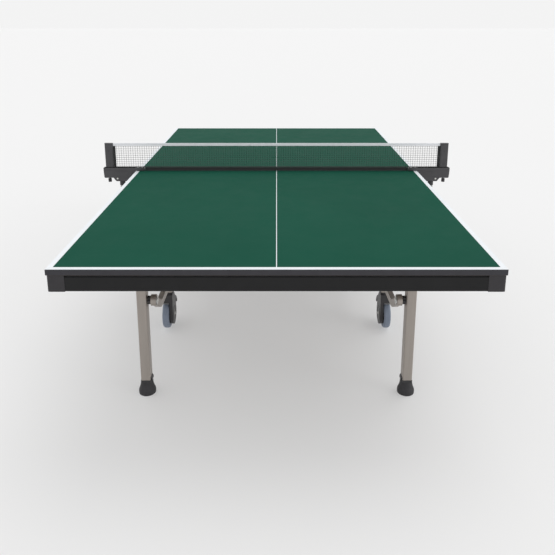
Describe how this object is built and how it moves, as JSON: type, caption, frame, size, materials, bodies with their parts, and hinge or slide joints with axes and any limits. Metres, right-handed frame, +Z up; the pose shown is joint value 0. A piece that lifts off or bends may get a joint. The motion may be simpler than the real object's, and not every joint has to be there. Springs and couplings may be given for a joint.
{
  "type": "table tennis table",
  "caption": "Full-size table tennis table on a rollaway carriage, with two halves that fold up for storage, self-folding legs and a net.",
  "frame": {"origin": "on the floor, below the middle of the table", "axes": "+X across the table along the net, +Y along the table's length away from the viewer of the picture, +Z up"},
  "size_m": [1.876, 2.74, 0.9125],
  "materials": {
    "top_green": "matt paint on particle board",
    "profile_black": "satin powder coat",
    "corner_black": "moulded, fine grain",
    "steel_champagne": "satin champagne coat over brushed tube",
    "rubber_black": "matt",
    "plastic_black": "moulded, fine grain",
    "tyre_grey_blue": "smooth non-marking rubber",
    "net_metal_black": "satin powder coat",
    "support_steel": "satin grey coat",
    "net_cord_black": "knotless woven cord"
  },
  "bodies": {
    "carriage": {"post_front_left": "steel_champagne", "post_front_right": "steel_champagne", "post_rear_left": "steel_champagne", "post_rear_right": "steel_champagne", "side_rail_left": "steel_champagne", "side_rail_right": "steel_champagne", "cross_tube": "steel_champagne", "net_support_left": "support_steel", "net_bracket_left": "net_metal_black", "net_post_left": "net_metal_black", "net_support_right": "support_steel", "net_bracket_right": "net_metal_black", "net_post_right": "net_metal_black", "net": "net_cord_black"},
    "half_front": {"panel_front": "top_green", "end_apron_front": "profile_black", "inner_rail_front": "profile_black", "side_apron_front_left": "profile_black", "corner_block_front_left": "corner_black", "stringer_front_left": "profile_black", "side_apron_front_right": "profile_black", "corner_block_front_right": "corner_black", "stringer_front_right": "profile_black"},
    "legs_front": {"leg_cross_tube_front": "steel_champagne", "leg_front_left": "steel_champagne", "leg_front_right": "steel_champagne"},
    "stays_front": {"stay_front_left": "steel_champagne", "stay_front_right": "steel_champagne"},
    "foot_front_left": {"foot_front_left": "rubber_black"},
    "lock_knob_front_left": {"lock_knob_front_left": "plastic_black"},
    "caster_front_left": {"caster_housing_front_left": "plastic_black"},
    "wheel_front_left": {"caster_wheel_front_left": "tyre_grey_blue"},
    "foot_front_right": {"foot_front_right": "rubber_black"},
    "lock_knob_front_right": {"lock_knob_front_right": "plastic_black"},
    "caster_front_right": {"caster_housing_front_right": "plastic_black"},
    "wheel_front_right": {"caster_wheel_front_right": "tyre_grey_blue"},
    "half_rear": {"panel_rear": "top_green", "end_apron_rear": "profile_black", "inner_rail_rear": "profile_black", "side_apron_rear_left": "profile_black", "corner_block_rear_left": "corner_black", "stringer_rear_left": "profile_black", "side_apron_rear_right": "profile_black", "corner_block_rear_right": "corner_black", "stringer_rear_right": "profile_black"},
    "legs_rear": {"leg_cross_tube_rear": "steel_champagne", "leg_rear_left": "steel_champagne", "leg_rear_right": "steel_champagne"},
    "stays_rear": {"stay_rear_left": "steel_champagne", "stay_rear_right": "steel_champagne"},
    "foot_rear_left": {"foot_rear_left": "rubber_black"},
    "lock_knob_rear_left": {"lock_knob_rear_left": "plastic_black"},
    "caster_rear_left": {"caster_housing_rear_left": "plastic_black"},
    "wheel_rear_left": {"caster_wheel_rear_left": "tyre_grey_blue"},
    "foot_rear_right": {"foot_rear_right": "rubber_black"},
    "lock_knob_rear_right": {"lock_knob_rear_right": "plastic_black"},
    "caster_rear_right": {"caster_housing_rear_right": "plastic_black"},
    "wheel_rear_right": {"caster_wheel_rear_right": "tyre_grey_blue"},
    "net_screw_left": {"net_screw_left": "plastic_black"},
    "net_screw_right": {"net_screw_right": "plastic_black"}
  },
  "joints": [
    {"name": "half_fold_front", "type": "hinge", "parent": "carriage", "child": "half_front", "pos_m": [0, -0.27, 0.728], "axis": [-1, 0, 0], "range_deg": [0, 90]},
    {"name": "leg_fold_front", "type": "hinge", "parent": "half_front", "child": "legs_front", "pos_m": [0, -0.906, 0.7], "axis": [1, 0, 0], "range_deg": [0, 80]},
    {"name": "stay_swing_front", "type": "hinge", "parent": "carriage", "child": "stays_front", "pos_m": [0, -0.31, 0.5], "axis": [-1, 0, 0], "range_deg": [0, 93.4]},
    {"name": "foot_level_front_left", "type": "slide", "parent": "legs_front", "child": "foot_front_left", "axis": [0, 0, 1], "range_m": [-0.02, 0]},
    {"name": "knob_turn_front_left", "type": "hinge", "parent": "legs_front", "child": "lock_knob_front_left", "pos_m": [-0.527, -0.906, 0.43], "axis": [1, 0, 0], "range_deg": [0, 90]},
    {"name": "caster_swivel_front_left", "type": "hinge", "parent": "carriage", "child": "caster_front_left", "pos_m": [-0.55, -0.348, 0.215], "axis": [0, 0, 1], "continuous": true},
    {"name": "wheel_roll_front_left", "type": "hinge", "parent": "caster_front_left", "child": "wheel_front_left", "pos_m": [-0.566, -0.316, 0.075], "axis": [1, 0, 0], "continuous": true},
    {"name": "foot_level_front_right", "type": "slide", "parent": "legs_front", "child": "foot_front_right", "axis": [0, 0, 1], "range_m": [-0.02, 0]},
    {"name": "knob_turn_front_right", "type": "hinge", "parent": "legs_front", "child": "lock_knob_front_right", "pos_m": [0.527, -0.906, 0.43], "axis": [-1, 0, 0], "range_deg": [0, 90]},
    {"name": "caster_swivel_front_right", "type": "hinge", "parent": "carriage", "child": "caster_front_right", "pos_m": [0.55, -0.348, 0.215], "axis": [0, 0, 1], "continuous": true},
    {"name": "wheel_roll_front_right", "type": "hinge", "parent": "caster_front_right", "child": "wheel_front_right", "pos_m": [0.566, -0.316, 0.075], "axis": [1, 0, 0], "continuous": true},
    {"name": "half_fold_rear", "type": "hinge", "parent": "carriage", "child": "half_rear", "pos_m": [0, 0.27, 0.728], "axis": [1, 0, 0], "range_deg": [0, 90]},
    {"name": "leg_fold_rear", "type": "hinge", "parent": "half_rear", "child": "legs_rear", "pos_m": [0, 0.906, 0.7], "axis": [-1, 0, 0], "range_deg": [0, 80]},
    {"name": "stay_swing_rear", "type": "hinge", "parent": "carriage", "child": "stays_rear", "pos_m": [0, 0.31, 0.5], "axis": [1, 0, 0], "range_deg": [0, 93.4]},
    {"name": "foot_level_rear_left", "type": "slide", "parent": "legs_rear", "child": "foot_rear_left", "axis": [0, 0, 1], "range_m": [-0.02, 0]},
    {"name": "knob_turn_rear_left", "type": "hinge", "parent": "legs_rear", "child": "lock_knob_rear_left", "pos_m": [-0.527, 0.906, 0.43], "axis": [1, 0, 0], "range_deg": [0, 90]},
    {"name": "caster_swivel_rear_left", "type": "hinge", "parent": "carriage", "child": "caster_rear_left", "pos_m": [-0.55, 0.348, 0.215], "axis": [0, 0, 1], "continuous": true},
    {"name": "wheel_roll_rear_left", "type": "hinge", "parent": "caster_rear_left", "child": "wheel_rear_left", "pos_m": [-0.566, 0.316, 0.075], "axis": [1, 0, 0], "continuous": true},
    {"name": "foot_level_rear_right", "type": "slide", "parent": "legs_rear", "child": "foot_rear_right", "axis": [0, 0, 1], "range_m": [-0.02, 0]},
    {"name": "knob_turn_rear_right", "type": "hinge", "parent": "legs_rear", "child": "lock_knob_rear_right", "pos_m": [0.527, 0.906, 0.43], "axis": [-1, 0, 0], "range_deg": [0, 90]},
    {"name": "caster_swivel_rear_right", "type": "hinge", "parent": "carriage", "child": "caster_rear_right", "pos_m": [0.55, 0.348, 0.215], "axis": [0, 0, 1], "continuous": true},
    {"name": "wheel_roll_rear_right", "type": "hinge", "parent": "caster_rear_right", "child": "wheel_rear_right", "pos_m": [0.566, 0.316, 0.075], "axis": [1, 0, 0], "continuous": true},
    {"name": "net_screw_turn_left", "type": "hinge", "parent": "carriage", "child": "net_screw_left", "pos_m": [-0.908, 0, 0.7215], "axis": [0, 0, 1], "continuous": true},
    {"name": "net_screw_turn_right", "type": "hinge", "parent": "carriage", "child": "net_screw_right", "pos_m": [0.908, 0, 0.7215], "axis": [0, 0, 1], "continuous": true}
  ],
  "couplings": [
    {"joint": "leg_fold_front", "follows": "half_fold_front", "ratio": 0.8888},
    {"joint": "stay_swing_front", "follows": "half_fold_front", "ratio": 1.0373},
    {"joint": "leg_fold_rear", "follows": "half_fold_rear", "ratio": 0.8888},
    {"joint": "stay_swing_rear", "follows": "half_fold_rear", "ratio": 1.0373}
  ]
}
